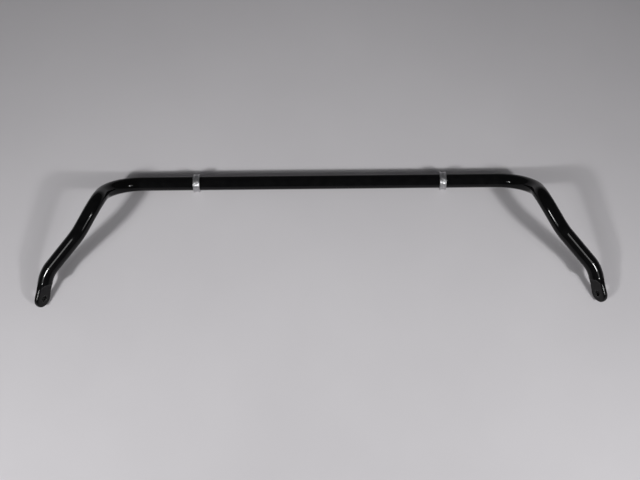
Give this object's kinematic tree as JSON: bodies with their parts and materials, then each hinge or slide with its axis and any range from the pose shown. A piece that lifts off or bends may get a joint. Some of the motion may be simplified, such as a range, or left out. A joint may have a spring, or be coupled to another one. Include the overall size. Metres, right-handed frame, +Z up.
{
  "type": "sway bar",
  "caption": "Round steel stabiliser bar with a straight middle, bent arms that arch forward to flattened, pierced link eyes, and crimped stop rings for its bushes.",
  "frame": {"origin": "on the surface that the bar lies on, below the middle of its outline", "axes": "+X along the straight middle section, the arms reach towards -Y, +Z up"},
  "size_m": [1.1692, 0.2894, 0.1188],
  "materials": {
    "bar_paint": "gloss black paint or powder coat, smooth, slightly worn at the forged eyes",
    "ring_metal": "raw aluminium, turned edges, dull jaw marks"
  },
  "bodies": {
    "root": {"bar": "bar_paint", "collar_left": "ring_metal", "collar_right": "ring_metal"}
  },
  "joints": []
}
